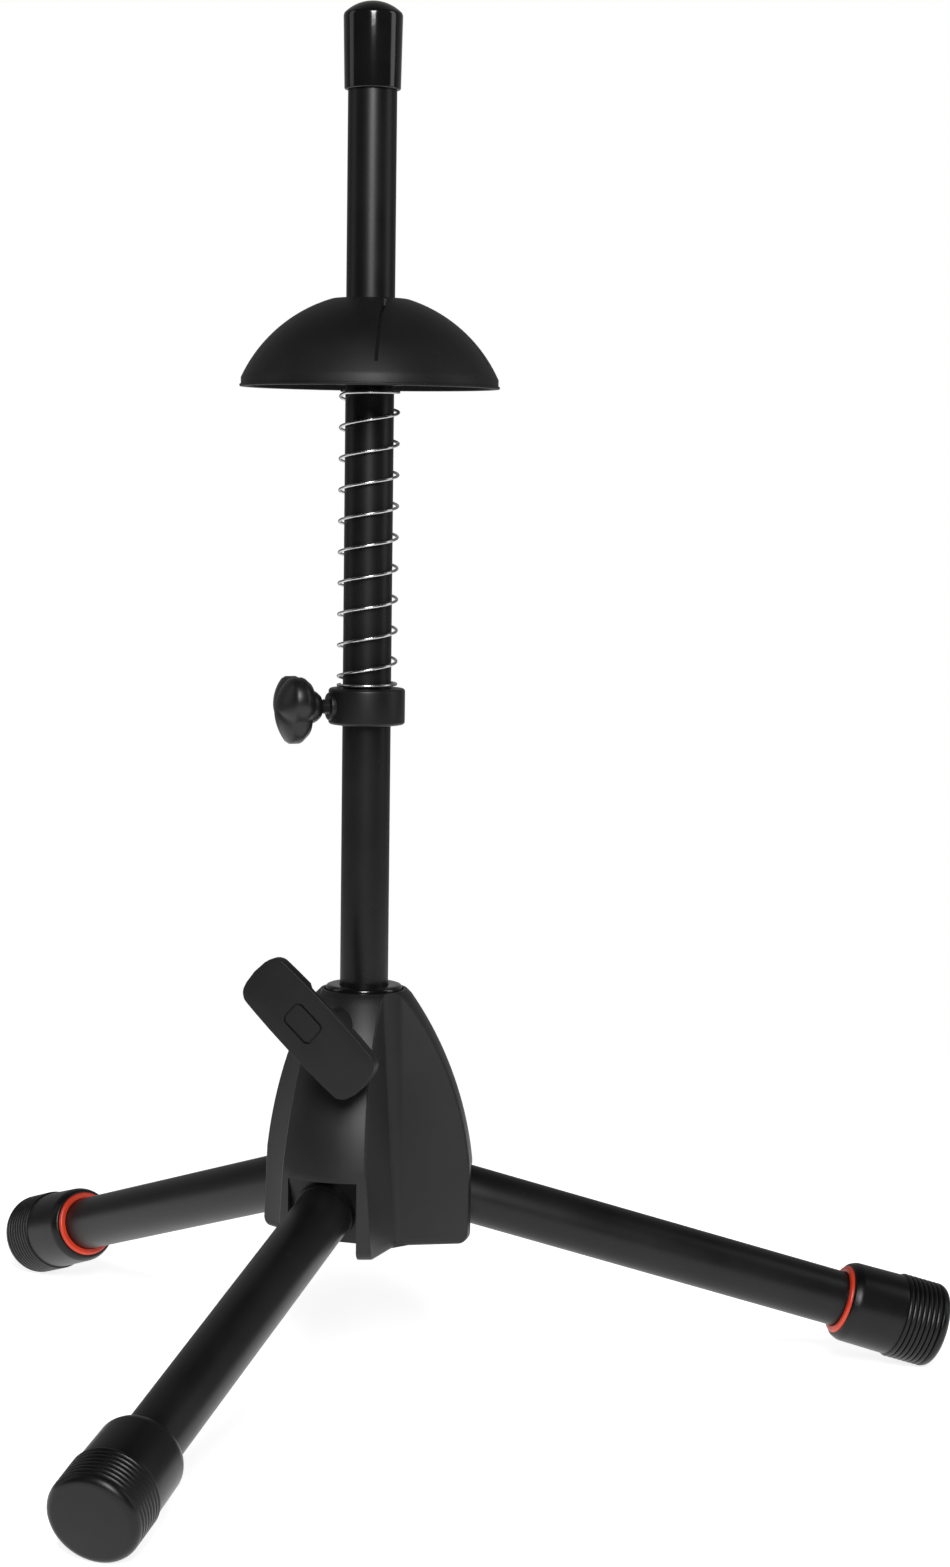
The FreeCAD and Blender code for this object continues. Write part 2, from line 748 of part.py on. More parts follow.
levels = (crossing, housing_top, collar_top, rim_level, dome_top, mast_top)
print("levels", [round(level, 2) for level in levels])
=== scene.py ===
import json
import math

import bmesh
import bpy
from mathutils import Matrix, Vector

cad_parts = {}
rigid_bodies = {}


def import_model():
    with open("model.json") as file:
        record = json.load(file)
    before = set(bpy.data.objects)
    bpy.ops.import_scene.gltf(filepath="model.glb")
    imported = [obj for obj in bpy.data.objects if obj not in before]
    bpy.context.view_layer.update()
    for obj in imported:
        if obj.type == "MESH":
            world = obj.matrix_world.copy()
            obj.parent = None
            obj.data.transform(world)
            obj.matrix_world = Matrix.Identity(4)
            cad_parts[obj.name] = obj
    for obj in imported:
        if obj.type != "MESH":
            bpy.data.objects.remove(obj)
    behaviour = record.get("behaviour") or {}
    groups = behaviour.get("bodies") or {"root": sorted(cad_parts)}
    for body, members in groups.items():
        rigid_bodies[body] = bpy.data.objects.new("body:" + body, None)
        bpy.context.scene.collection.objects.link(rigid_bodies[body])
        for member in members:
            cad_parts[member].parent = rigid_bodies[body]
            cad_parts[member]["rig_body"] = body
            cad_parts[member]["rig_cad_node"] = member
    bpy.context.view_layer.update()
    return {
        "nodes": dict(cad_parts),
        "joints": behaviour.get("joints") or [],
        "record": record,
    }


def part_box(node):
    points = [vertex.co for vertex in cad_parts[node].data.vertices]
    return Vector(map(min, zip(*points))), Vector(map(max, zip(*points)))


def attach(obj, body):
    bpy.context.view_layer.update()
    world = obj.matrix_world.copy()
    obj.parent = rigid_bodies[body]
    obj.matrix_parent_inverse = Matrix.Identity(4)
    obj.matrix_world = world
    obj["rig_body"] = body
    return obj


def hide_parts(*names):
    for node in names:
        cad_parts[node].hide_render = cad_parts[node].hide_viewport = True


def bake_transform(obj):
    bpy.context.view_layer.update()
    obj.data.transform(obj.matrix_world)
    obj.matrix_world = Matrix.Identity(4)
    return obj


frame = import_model()
record = frame["record"]

joints = {joint["name"]: joint for joint in frame["joints"]}
slotOf = {row["node"]: row["material_slot"] for row in record["subparts"]}
bodyOf = {node: body for body, nodes in record["behaviour"]["bodies"].items() for node in nodes}
sides = ["front", "right", "left"]
tiny = 1e-6


# ---- modelling helpers

def deselectAll():
    if bpy.context.object and bpy.context.object.mode == "EDIT":
        bpy.ops.object.mode_set(mode="OBJECT")
    bpy.ops.object.select_all(action="DESELECT")


def selectOnly(piece):
    deselectAll()
    piece.select_set(True)
    bpy.context.view_layer.objects.active = piece


def callPiece(piece, name):
    piece.name = name
    piece.data.name = name


def editOnly(piece):
    selectOnly(piece)
    bpy.ops.object.mode_set(mode="EDIT")


def pick(piece, wanted, kind="VERT"):
    # selects the vertices, edges or faces that wanted() says yes to, in edit mode
    bpy.ops.mesh.select_mode(type=kind)
    bpy.ops.mesh.select_all(action="DESELECT")
    shape = bmesh.from_edit_mesh(piece.data)
    for item in {"VERT": shape.verts, "EDGE": shape.edges, "FACE": shape.faces}[kind]:
        if wanted(item):
            item.select_set(True)
    bmesh.update_edit_mesh(piece.data)


def mergeAndTurnOut():
    bpy.ops.mesh.select_all(action="SELECT")
    bpy.ops.mesh.remove_doubles(threshold=tiny)
    bpy.ops.mesh.normals_make_consistent(inside=False)


def extrudeAlong(points, closed):
    # from one selected vertex at the centre, an edge after another through (x, y, z) points
    here = Vector(points[0])
    bpy.ops.transform.translate(value=here)
    for point in points[1:] + (points[:1] if closed else []):
        step = Vector(point) - here
        bpy.ops.mesh.extrude_region_move(TRANSFORM_OT_translate={"value": step})
        here = Vector(point)
    bpy.ops.mesh.select_all(action="SELECT")
    bpy.ops.mesh.remove_doubles(threshold=tiny)


def startPiece(name):
    # a plane drawn together to one vertex, left in edit mode
    deselectAll()
    bpy.ops.mesh.primitive_plane_add(size=0.01)
    piece = bpy.context.object
    callPiece(piece, name)
    bpy.ops.object.mode_set(mode="EDIT")
    bpy.ops.mesh.select_mode(type="VERT")
    bpy.ops.mesh.merge(type="CENTER")
    return piece


def turnedPiece(name, corners, steps=96, closed=False, roundSteps=5):
    # corners are (radius, height, rounding): an outline drawn, rounded and spun about Z
    piece = startPiece(name)
    extrudeAlong([(radius, 0, height) for radius, height, rounding in corners], closed)
    for radius, height, rounding in corners:
        if rounding:
            spot = Vector((radius, 0, height))
            pick(piece, lambda vertex: (vertex.co - spot).length < tiny * 5)
            bpy.ops.mesh.bevel(offset=rounding, segments=roundSteps, affect="VERTICES")
    bpy.ops.mesh.select_all(action="SELECT")
    bpy.ops.mesh.spin(steps=steps, angle=math.tau, center=(0, 0, 0), axis=(0, 0, 1))
    mergeAndTurnOut()
    bpy.ops.object.mode_set(mode="OBJECT")
    return piece


def slabPiece(name, outline, thickness):
    # a flat closed outline of (x, y) points, filled and given its thickness along Z
    piece = startPiece(name)
    extrudeAlong([(x, y, 0) for x, y in outline], True)
    bpy.ops.mesh.select_all(action="SELECT")
    bpy.ops.mesh.edge_face_add()
    bpy.ops.mesh.extrude_region_move(TRANSFORM_OT_translate={"value": (0, 0, thickness)})
    mergeAndTurnOut()
    bpy.ops.object.mode_set(mode="OBJECT")
    return piece


def applyModifier(piece, kind, **settings):
    selectOnly(piece)
    bpy.ops.object.modifier_add(type=kind)
    modifier = piece.modifiers[-1]
    for key, value in settings.items():
        setattr(modifier, key, value)
    bpy.ops.object.modifier_apply(modifier=modifier.name)


def combine(piece, other, operation):
    applyModifier(piece, "BOOLEAN", operation=operation, solver="EXACT", object=other)
    bpy.data.objects.remove(other)


def place(piece, matrix):
    selectOnly(piece)
    piece.matrix_world = matrix
    bpy.ops.object.transform_apply(location=True, rotation=True, scale=True)


def copyPiece(piece, name):
    twin = piece.copy()
    twin.data = piece.data.copy()
    callPiece(twin, name)
    bpy.context.scene.collection.objects.link(twin)
    return twin


def smooth(piece, angle=35):
    selectOnly(piece)
    bpy.ops.object.shade_smooth_by_angle(angle=math.radians(angle))


def arcPoints(centre, radius, start, end, count):
    # points on an arc, angles in degrees, both ends included
    turns = [math.radians(start + (end - start) * step / count) for step in range(count + 1)]
    return [(centre[0] + radius * math.cos(turn), centre[1] + radius * math.sin(turn)) for turn in turns]


def sphereRadius(halfWidth, height):
    return (halfWidth ** 2 + height ** 2) / (2 * height)


def widthOf(node):
    low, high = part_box(node)
    return (high.x - low.x) / 2


# ---- materials

class Signal:
    # a shader socket that writes its own Math nodes when it is used in a sum
    def __init__(self, graph, socket):
        self.graph = graph
        self.socket = socket

    def __add__(self, other):
        return self.graph.maths("ADD", self, other)

    def __radd__(self, other):
        return self.graph.maths("ADD", other, self)

    def __sub__(self, other):
        return self.graph.maths("SUBTRACT", self, other)

    def __rsub__(self, other):
        return self.graph.maths("SUBTRACT", other, self)

    def __mul__(self, other):
        return self.graph.maths("MULTIPLY", self, other)

    def __rmul__(self, other):
        return self.graph.maths("MULTIPLY", other, self)


class Graph:
    def __init__(self, tree):
        self.tree = tree
        tree.nodes.clear()

    def node(self, kind, settings=None, inputs=None, output=0):
        # settings go first, then the values or links of its sockets
        made = self.tree.nodes.new("ShaderNode" + kind)
        for key, value in (settings or {}).items():
            setattr(made, key, value)
        for key, value in (inputs or {}).items():
            if isinstance(value, Signal):
                self.tree.links.new(value.socket, made.inputs[key])
            else:
                made.inputs[key].default_value = value
        return Signal(self, made.outputs[output]) if len(made.outputs) else made

    def maths(self, operation, first, second=0.0, clamp=False):
        return self.node("Math", {"operation": operation, "use_clamp": clamp}, {0: first, 1: second})

    def ramp(self, value, low, high):
        # 0 below low, 1 above high
        return self.maths("MULTIPLY", value - low, 1 / (high - low), clamp=True)

    def mix(self, mask, first, second):
        return self.node("Mix", {"data_type": "RGBA"}, {0: mask, 6: first, 7: second}, output=2)

    def noise(self, place, scale, detail=2.0, rough=0.5):
        return self.node("TexNoise", {}, {"Vector": place, "Scale": scale, "Detail": detail, "Roughness": rough})


def grey(level, tint=(1, 1, 1)):
    return (level * tint[0], level * tint[1], level * tint[2], 1)


def newMaterial(name):
    material = bpy.data.materials.new(name)
    material.use_nodes = True
    graph = Graph(material.node_tree)
    return material, graph, graph.node("TexCoord", output=3)


def closeMaterial(graph, shader):
    graph.node("OutputMaterial", {}, {"Surface": shader})


mottleSettings = {"detail": 3.0, "low": 0.35, "high": 0.65}
fleckSettings = {"spread": 0.03, "share": 0.35, "level": 0.06}


def makeFinish(name, settings):
    # mottled colour, uneven gloss and a fine surface grain; dust shows as sparse pale flecks
    material, graph, spot = newMaterial(name)
    broad = graph.noise(spot, settings["mottleScale"], mottleSettings["detail"])
    fine = graph.noise(spot, settings["grainScale"], settings.get("grainDetail", 3.0), 0.6)
    mottle = graph.ramp(broad, mottleSettings["low"], mottleSettings["high"])
    colour = graph.mix(mottle, settings["dark"], settings["light"])
    if "dust" in settings:
        dust = graph.noise(spot, settings["dustScale"], 1.0)
        fleck = graph.ramp(dust, settings["dust"], settings["dust"] + fleckSettings["spread"])
        colour = graph.mix(fleck * fleckSettings["share"], colour, grey(fleckSettings["level"]))
    height = fine
    if "peelScale" in settings:
        peel = graph.noise(spot, settings["peelScale"], 1.0)
        height = fine * (1 - settings["peelShare"]) + peel * settings["peelShare"]
    rough = settings["rough"] - settings["roughSpread"] / 2 + broad * settings["roughSpread"]
    normal = graph.node("Bump", {}, {"Strength": settings["bump"], "Distance": settings["depth"],
                                     "Height": height})
    shader = graph.node("BsdfPrincipled", {}, {
        "Base Color": colour, "Roughness": rough, "Normal": normal,
        "Metallic": settings.get("metallic", 0.0), "Specular IOR Level": settings.get("specular", 0.5)})
    closeMaterial(graph, shader)
    return material


finishSettings = {
    "powder_coat": {"dark": grey(0.0035), "light": grey(0.0055), "mottleScale": 60, "grainScale": 2600,
                    "peelScale": 900, "peelShare": 0.6, "rough": 0.38, "roughSpread": 0.1, "bump": 0.5,
                    "depth": 0.00003, "specular": 0.3, "dust": 0.78, "dustScale": 900},
    "cap_vinyl": {"dark": grey(0.005), "light": grey(0.007), "mottleScale": 90, "grainScale": 300,
                  "grainDetail": 1.0, "rough": 0.12, "roughSpread": 0.05, "bump": 0.35, "depth": 0.00006},
    "housing_plastic": {"dark": grey(0.0058, (1, 1, 1.1)), "light": grey(0.008, (1, 1, 1.12)), "mottleScale": 45,
                        "grainScale": 3800, "rough": 0.43, "roughSpread": 0.1, "bump": 0.6, "depth": 0.00004,
                        "specular": 0.42, "dust": 0.8, "dustScale": 1100},
    "ring_plastic": {"dark": grey(0.004), "light": grey(0.006), "mottleScale": 120, "grainScale": 700,
                     "rough": 0.16, "roughSpread": 0.05, "bump": 0.3, "depth": 0.00003},
    "fitting_plastic": {"dark": grey(0.003), "light": grey(0.0045), "mottleScale": 90, "grainScale": 2200,
                        "rough": 0.34, "roughSpread": 0.1, "bump": 0.4, "depth": 0.00003, "specular": 0.3},
    "handle_plastic": {"dark": grey(0.005, (1.02, 1, 1.06)), "light": grey(0.0072, (1.02, 1, 1.06)),
                       "mottleScale": 60, "grainScale": 3800, "rough": 0.5, "roughSpread": 0.1, "bump": 0.6,
                       "depth": 0.00004, "specular": 0.3},
    "collar_plastic": {"dark": grey(0.004), "light": grey(0.006), "mottleScale": 80, "grainScale": 2600,
                       "rough": 0.4, "roughSpread": 0.1, "bump": 0.45, "depth": 0.00003, "specular": 0.35},
    "knob_plastic": {"dark": grey(0.005), "light": grey(0.0075), "mottleScale": 90, "grainScale": 2600,
                     "rough": 0.36, "roughSpread": 0.12, "bump": 0.5, "depth": 0.00004, "specular": 0.4},
    "black_nylon": {"dark": grey(0.01), "light": grey(0.014), "mottleScale": 90, "grainScale": 1800,
                    "rough": 0.45, "roughSpread": 0.1, "bump": 0.4, "depth": 0.00003},
    "dome_rubber": {"dark": grey(0.005), "light": grey(0.0075), "mottleScale": 38, "grainScale": 1700,
                    "peelScale": 260, "peelShare": 0.5, "rough": 0.5, "roughSpread": 0.14, "bump": 0.5,
                    "depth": 0.00008, "specular": 0.3, "dust": 0.77, "dustScale": 800},
    "foot_rubber": {"dark": grey(0.0025), "light": grey(0.0042), "mottleScale": 55, "grainScale": 2000,
                    "peelScale": 320, "peelShare": 0.4, "rough": 0.34, "roughSpread": 0.12, "bump": 0.5,
                    "depth": 0.00006, "specular": 0.28, "dust": 0.79, "dustScale": 900},
    "red_plastic": {"dark": (0.5, 0.03, 0.01, 1), "light": (0.6, 0.045, 0.014, 1), "mottleScale": 110,
                    "grainScale": 1800, "rough": 0.36, "roughSpread": 0.1, "bump": 0.4, "depth": 0.00003},
    "spring_steel": {"dark": grey(0.5), "light": grey(0.66), "mottleScale": 160, "grainScale": 3200,
                     "rough": 0.24, "roughSpread": 0.12, "bump": 0.3, "depth": 0.00001, "metallic": 1.0},
    "black_steel": {"dark": grey(0.014), "light": grey(0.022), "mottleScale": 240, "grainScale": 3200,
                    "rough": 0.36, "roughSpread": 0.12, "bump": 0.3, "depth": 0.00002, "metallic": 0.3},
    "zinc_steel": {"dark": grey(0.42, (1, 1, 1.03)), "light": grey(0.56, (1, 1, 1.03)), "mottleScale": 220,
                   "grainScale": 2600, "rough": 0.32, "roughSpread": 0.14, "bump": 0.3, "depth": 0.00001,
                   "metallic": 1.0},
    "brass": {"dark": (0.55, 0.37, 0.15, 1), "light": (0.72, 0.52, 0.24, 1), "mottleScale": 220,
              "grainScale": 2600, "rough": 0.28, "roughSpread": 0.12, "bump": 0.3, "depth": 0.00001,
              "metallic": 1.0},
}

finishes = {name: makeFinish(name, settings) for name, settings in finishSettings.items()}
print("materials made:", len(finishes))

for node, cadObject in frame["nodes"].items():
    slots = cadObject.material_slots
    if not slots:
        cadObject.data.materials.append(None)
    for slot in cadObject.material_slots:
        slot.material = finishes[slotOf[node]]
print("finishes on the carried-over pieces:", len(frame["nodes"]))


def standFor(piece, node, angle=35):
    # the piece takes its body, finish and slot from the node that it stands for
    smooth(piece, angle)
    piece.data.materials.clear()
    piece.data.materials.append(finishes[slotOf[node]])
    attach(piece, bodyOf[node])
    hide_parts(node)
    return piece


def upAt(height):
    return Matrix.Translation((0, 0, height))


def outAt(angle, height):
    # a piece made along Z is laid level, pointing out at this angle
    turn = Matrix.Rotation(math.radians(angle), 4, "Z")
    return upAt(height) @ turn @ Matrix.Rotation(math.pi / 2, 4, "Y")


def legPlace(side):
    # a piece made along Z is laid along the leg, its zero on the mast's axis
    joint = joints[side + "_leg_fold"]
    pivot = Vector(joint["pos_m"])
    tilt = math.pi / 2 - math.radians(joint["range_deg"][1])
    crossing = pivot.z + math.hypot(pivot.x, pivot.y) * math.tan(tilt)
    turn = Matrix.Rotation(math.atan2(pivot.y, pivot.x), 4, "Z")
    return upAt(crossing) @ turn @ Matrix.Rotation(math.pi / 2 + tilt, 4, "Y")


# ---- mast

mastSizes = {"wall": 0.0012, "endRound": 0.0003}


def makeMastTube():
    low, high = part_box("mast_tube")
    outer = widthOf("mast_tube")
    inner = outer - mastSizes["wall"]
    edge = mastSizes["endRound"]
    piece = turnedPiece("mastTubeDrawn", [(inner, low.z, 0), (outer, low.z, edge), (outer, high.z, edge),
                                          (inner, high.z, 0)], closed=True)
    return standFor(piece, "mast_tube")


capSizes = {"mouthRadius": 0.00919, "lip": 0.0005, "innerLipShare": 0.4, "crown": 0.0042, "shoulderRound": 0.0009,
            "crownSteps": 16}


def makeMastCap():
    low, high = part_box("mast_cap")
    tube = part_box("mast_tube")[1].z
    bore = widthOf("mast_tube")
    top = widthOf("mast_cap")
    shoulder = high.z - capSizes["crown"]
    sphere = sphereRadius(top, capSizes["crown"])
    spread = math.degrees(math.asin(top / sphere))
    crown = arcPoints((0, high.z - sphere), sphere, 90 - spread, 90, capSizes["crownSteps"])
    lip = capSizes["lip"]
    mouth = capSizes["mouthRadius"]
    corners = [(0, tube, 0), (bore, tube, 0), (bore, low.z, lip * capSizes["innerLipShare"]),
               (mouth, low.z, lip)]
    corners += [(top, shoulder, capSizes["shoulderRound"])]
    corners += [(radius, height, 0) for radius, height in crown[1:]]
    return standFor(turnedPiece("mastCapMoulding", corners, roundSteps=6), "mast_cap")


print("mast:", makeMastTube().name, makeMastCap().name)


# ---- bell dome

domeSizes = {"topRadius": 0.0122, "wall": 0.0024, "arch": 0.0043, "band": 0.003, "lip": 0.00045,
             "hubRadius": 0.0116, "hubUp": 0.001, "boreGap": 0.0003, "edge": 0.0003, "bandRound": 0.0001,
             "topRound": 0.0006, "boreRound": 0.0004, "archSteps": 28}
slitSizes = {"count": 5, "width": 0.0011, "offset": 0.0062, "angle": -74.4, "start": 0.0126, "bottom": 0.0076,
             "above": 0.01, "reachShare": 1.5}


def archedLine(start, end, arch, count):
    # a shallow arc between two points, standing out by arch at its middle
    a = Vector((start[0], start[1]))
    b = Vector((end[0], end[1]))
    chord = b - a
    radius = sphereRadius(chord.length / 2, arch)
    outward = Vector((chord.y, -chord.x)).normalized()
    centre = (a + b) / 2 + outward * (arch - radius)
    first = math.degrees(math.atan2(a.y - centre.y, a.x - centre.x))
    last = math.degrees(math.atan2(b.y - centre.y, b.x - centre.x))
    return arcPoints(centre, radius, first, first + (last - first + 180) % 360 - 180, count)


def makeDome():
    sizes = domeSizes
    low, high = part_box("bell_dome")
    wide = widthOf("bell_dome") - sizes["lip"]
    bore = widthOf("mast_tube") + sizes["boreGap"]
    band = low.z + sizes["band"]
    outer = archedLine((wide, band), (sizes["topRadius"], high.z), sizes["arch"], sizes["archSteps"])
    wall = sizes["wall"]
    inner = archedLine((wide - wall, band), (sizes["topRadius"], high.z - wall), sizes["arch"], sizes["archSteps"])
    inner = [point for point in inner if point[0] > sizes["hubRadius"]]
    lip = sizes["lip"]
    hubLow = low.z + sizes["hubUp"]
    edge = sizes["edge"]
    corners = [(bore, hubLow, edge), (sizes["hubRadius"], hubLow, edge)]
    corners += [(sizes["hubRadius"], inner[-1][1], 0)]
    corners += [(radius, height, 0) for radius, height in reversed(inner)]
    corners += [(wide - wall, low.z, edge), (wide + lip, low.z, lip * 0.7),
                (wide + lip, low.z + lip * 2, lip * 0.6), (wide, low.z + lip * 2, sizes["bandRound"])]
    corners += [(radius, height, 0) for radius, height in outer[:-1]]
    corners += [(sizes["topRadius"], high.z, sizes["topRound"]), (bore, high.z, sizes["boreRound"])]
    piece = turnedPiece("bellDomeMoulding", corners, steps=160, closed=True, roundSteps=4)
    reach = wide * slitSizes["reachShare"] - slitSizes["start"]
    slitLow = low.z + slitSizes["bottom"]
    slitHigh = high.z + slitSizes["above"]
    for cut in range(slitSizes["count"]):
        deselectAll()
        bpy.ops.mesh.primitive_cube_add(size=1)
        cutter = bpy.context.object
        middle = (slitSizes["start"] + reach / 2, slitSizes["offset"], (slitLow + slitHigh) / 2)
        turn = Matrix.Rotation(math.radians(slitSizes["angle"] + cut * 360 / slitSizes["count"]), 4, "Z")
        scale = Matrix.Diagonal((reach, slitSizes["width"], slitHigh - slitLow, 1))
        place(cutter, turn @ Matrix.Translation(middle) @ scale)
        combine(piece, cutter, "DIFFERENCE")
    return standFor(piece, "bell_dome", angle=30)


print("dome:", makeDome().name)


# ---- spring

springSizes = {"wire": 0.0005, "endTurns": 0.85, "wireSides": 12, "stepsPerTurn": 48, "pitch": 0.0102,
               "startAngle": 180}


def makeSpring():
    sizes = springSizes
    low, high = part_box("spring")
    wire = sizes["wire"]
    coil = widthOf("spring") - wire
    start = low.z + wire
    rise = high.z - wire - start
    closedRise = sizes["endTurns"] * 2 * wire
    activeTurns = (rise - 2 * closedRise) / sizes["pitch"]
    turns = activeTurns + 2 * sizes["endTurns"]
    deselectAll()
    bpy.ops.mesh.primitive_circle_add(vertices=sizes["wireSides"], radius=wire, location=(coil, 0, 0),
                                      rotation=(math.pi / 2, 0, 0))
    piece = bpy.context.object
    callPiece(piece, "springCoil")
    bpy.ops.object.transform_apply(location=True, rotation=True, scale=True)
    steps = round(turns * sizes["stepsPerTurn"])
    applyModifier(piece, "SCREW", angle=turns * math.tau, steps=steps, render_steps=steps, screw_offset=rise,
                  axis="Z", use_merge_vertices=False, use_smooth_shade=True)
    for vertex in piece.data.vertices:
        turn = (vertex.index // sizes["wireSides"]) / steps * turns
        active = min(max(turn - sizes["endTurns"], 0), activeTurns)
        closed = turn - active
        height = closed * 2 * wire + active * sizes["pitch"]
        vertex.co.z += start + height - turn / turns * rise
    editOnly(piece)
    bpy.ops.mesh.select_all(action="SELECT")
    bpy.ops.mesh.fill_holes(sides=0)
    bpy.ops.mesh.select_all(action="SELECT")
    bpy.ops.mesh.normals_make_consistent(inside=False)
    bpy.ops.object.mode_set(mode="OBJECT")
    place(piece, Matrix.Rotation(math.radians(sizes["startAngle"]), 4, "Z"))
    smooth(piece, 60)
    piece.data.materials.clear()
    piece.data.materials.append(finishes["spring_steel"])
    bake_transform(piece)
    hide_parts("spring")
    return piece


print("spring:", makeSpring().name)


# ---- collar and its thumb screw

collarSizes = {"bore": 0.00807, "edge": 0.001, "boreEdge": 0.0004, "angle": -140.0, "bossRadius": 0.0046,
               "bossReach": 0.0135, "bossEdge": 0.0006, "bossSink": 0.001, "holeRadius": 0.0026, "holeReach": 0.02}
collarLow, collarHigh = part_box("collar")
collarRadius = collarHigh.x
collarMiddle = (collarLow.z + collarHigh.z) / 2


def makeCollar():
    sizes = collarSizes
    ring = turnedPiece("collarMoulding", [
        (sizes["bore"], collarLow.z, sizes["boreEdge"]), (collarRadius, collarLow.z, sizes["edge"]),
        (collarRadius, collarHigh.z, sizes["edge"]),
        (sizes["bore"], collarHigh.z, sizes["boreEdge"])], closed=True)
    start = sizes["bore"] + sizes["bossSink"]
    boss = turnedPiece("boss", [(0, start, 0), (sizes["bossRadius"], start, 0),
                                (sizes["bossRadius"], sizes["bossReach"], sizes["bossEdge"]),
                                (0, sizes["bossReach"], 0)], steps=48)
    place(boss, outAt(sizes["angle"], collarMiddle))
    combine(ring, boss, "UNION")
    hole = turnedPiece("hole", [(0, 0, 0), (sizes["holeRadius"], 0, 0),
                                (sizes["holeRadius"], sizes["holeReach"], 0), (0, sizes["holeReach"], 0)], steps=48)
    place(hole, outAt(sizes["angle"], collarMiddle))
    combine(ring, hole, "DIFFERENCE")
    return standFor(ring, "collar")


threadSizes = {"radius": 0.0025, "depth": 0.0004, "pitch": 0.0008, "start": 0.00927, "end": 0.0255}


def makeThread():
    sizes = threadSizes
    corners = [(0, sizes["start"], 0), (sizes["radius"] - sizes["depth"], sizes["start"], 0)]
    count = int((sizes["end"] - sizes["start"]) / sizes["pitch"]) - 1
    for turn in range(count):
        low = sizes["start"] + (turn + 0.5) * sizes["pitch"]
        corners += [(sizes["radius"] - sizes["depth"], low, 0), (sizes["radius"], low + sizes["pitch"] / 2, 0)]
    corners += [(sizes["radius"] - sizes["depth"], sizes["end"], 0), (0, sizes["end"], 0)]
    piece = turnedPiece("thumbScrewThread", corners, steps=40)
    place(piece, outAt(collarSizes["angle"], collarMiddle))
    return standFor(piece, "collar_screw", angle=25)


knobSizes = {"hubStart": 0.0161, "hubRadius": 0.0057, "back": 0.0203, "edge": 0.0272, "face": 0.0315,
             "reach": 0.0122, "lobe": 0.0078, "backTaper": 0.8, "sides": 120, "crownSteps": 10,
             "smoothing": 5, "edgeRound": 0.0007, "flareStart": 0.0044, "sideStart": 0.0036, "sideEnd": 0.0005,
             "hubNoseShare": 0.62, "hubNoseRound": 0.0004, "hubFlare": 0.0023, "hubRound": 0.0016,
             "hubSink": 0.001}


def lobedRadius(turn):
    # outline of three round lobes, one of them pointing down
    offset = knobSizes["reach"] - knobSizes["lobe"]
    best = 0
    for lobe in range(3):
        away = turn - lobe * math.tau / 3
        across = offset * math.sin(away)
        if abs(across) < knobSizes["lobe"]:
            best = max(best, offset * math.cos(away) + math.sqrt(knobSizes["lobe"] ** 2 - across ** 2))
    return best


def makeKnob():
    sizes = knobSizes
    deselectAll()
    bpy.ops.mesh.primitive_circle_add(vertices=sizes["sides"], radius=1, fill_type="NOTHING")
    piece = bpy.context.object
    callPiece(piece, "thumbKnobMoulding")
    for vertex in piece.data.vertices:
        turn = math.atan2(vertex.co.y, vertex.co.x)
        radius = lobedRadius(turn)
        vertex.co = (radius * math.cos(turn), radius * math.sin(turn), 0)
    editOnly(piece)
    bpy.ops.mesh.select_all(action="SELECT")
    bpy.ops.mesh.vertices_smooth(factor=0.5, repeat=sizes["smoothing"])
    sag = sizes["face"] - sizes["edge"]
    sphere = sphereRadius(sizes["reach"], sag)
    soft = sizes["edgeRound"] / sizes["reach"]
    stations = [(sizes["backTaper"] - soft, sizes["back"]),
                (sizes["backTaper"], sizes["back"] + sizes["edgeRound"] * 0.6),
                (1 - soft * 0.6, sizes["edge"] - sizes["flareStart"]),
                (1, sizes["edge"] - sizes["sideStart"]), (1, sizes["edge"] - sizes["sideEnd"])]
    for step in range(sizes["crownSteps"] + 1):
        share = (1 - soft) * (1 - step / (sizes["crownSteps"] + 0.5))
        width = share * sizes["reach"]
        stations.append((share, sizes["face"] - sphere + math.sqrt(sphere ** 2 - width ** 2)))
    share, height = stations[0]
    bpy.ops.transform.resize(value=(share, share, 1), center_override=(0, 0, 0))
    bpy.ops.transform.translate(value=(0, 0, height))
    for (lastShare, lastHeight), (nextShare, nextHeight) in zip(stations, stations[1:]):
        bpy.ops.mesh.extrude_region_move(TRANSFORM_OT_translate={"value": (0, 0, nextHeight - lastHeight)})
        ratio = nextShare / lastShare
        bpy.ops.transform.resize(value=(ratio, ratio, 1), center_override=(0, 0, nextHeight))
    bpy.ops.mesh.edge_face_add()
    pick(piece, lambda edge: edge.is_boundary, "EDGE")
    bpy.ops.mesh.edge_face_add()
    mergeAndTurnOut()
    bpy.ops.object.mode_set(mode="OBJECT")
    nose = (sizes["hubRadius"] * sizes["hubNoseShare"], sizes["hubStart"], sizes["hubNoseRound"])
    hubEnd = sizes["back"] + sizes["hubSink"]
    hub = turnedPiece("hub", [(0, sizes["hubStart"], 0), nose,
                              (sizes["hubRadius"], sizes["hubStart"] + sizes["hubFlare"], sizes["hubRound"]),
                              (sizes["hubRadius"], hubEnd, 0), (0, hubEnd, 0)], steps=64)
    combine(piece, hub, "UNION")
    place(piece, outAt(collarSizes["angle"], collarMiddle))
    return standFor(piece, "collar_knob", angle=40)


print("collar:", makeCollar().name, makeThread().name, makeKnob().name)


# ---- housing and its ring

ringSizes = {"round": 0.0013, "innerRoundShare": 0.6, "seat": 0.0014, "bore": 0.00807, "sleeve": 0.0094}


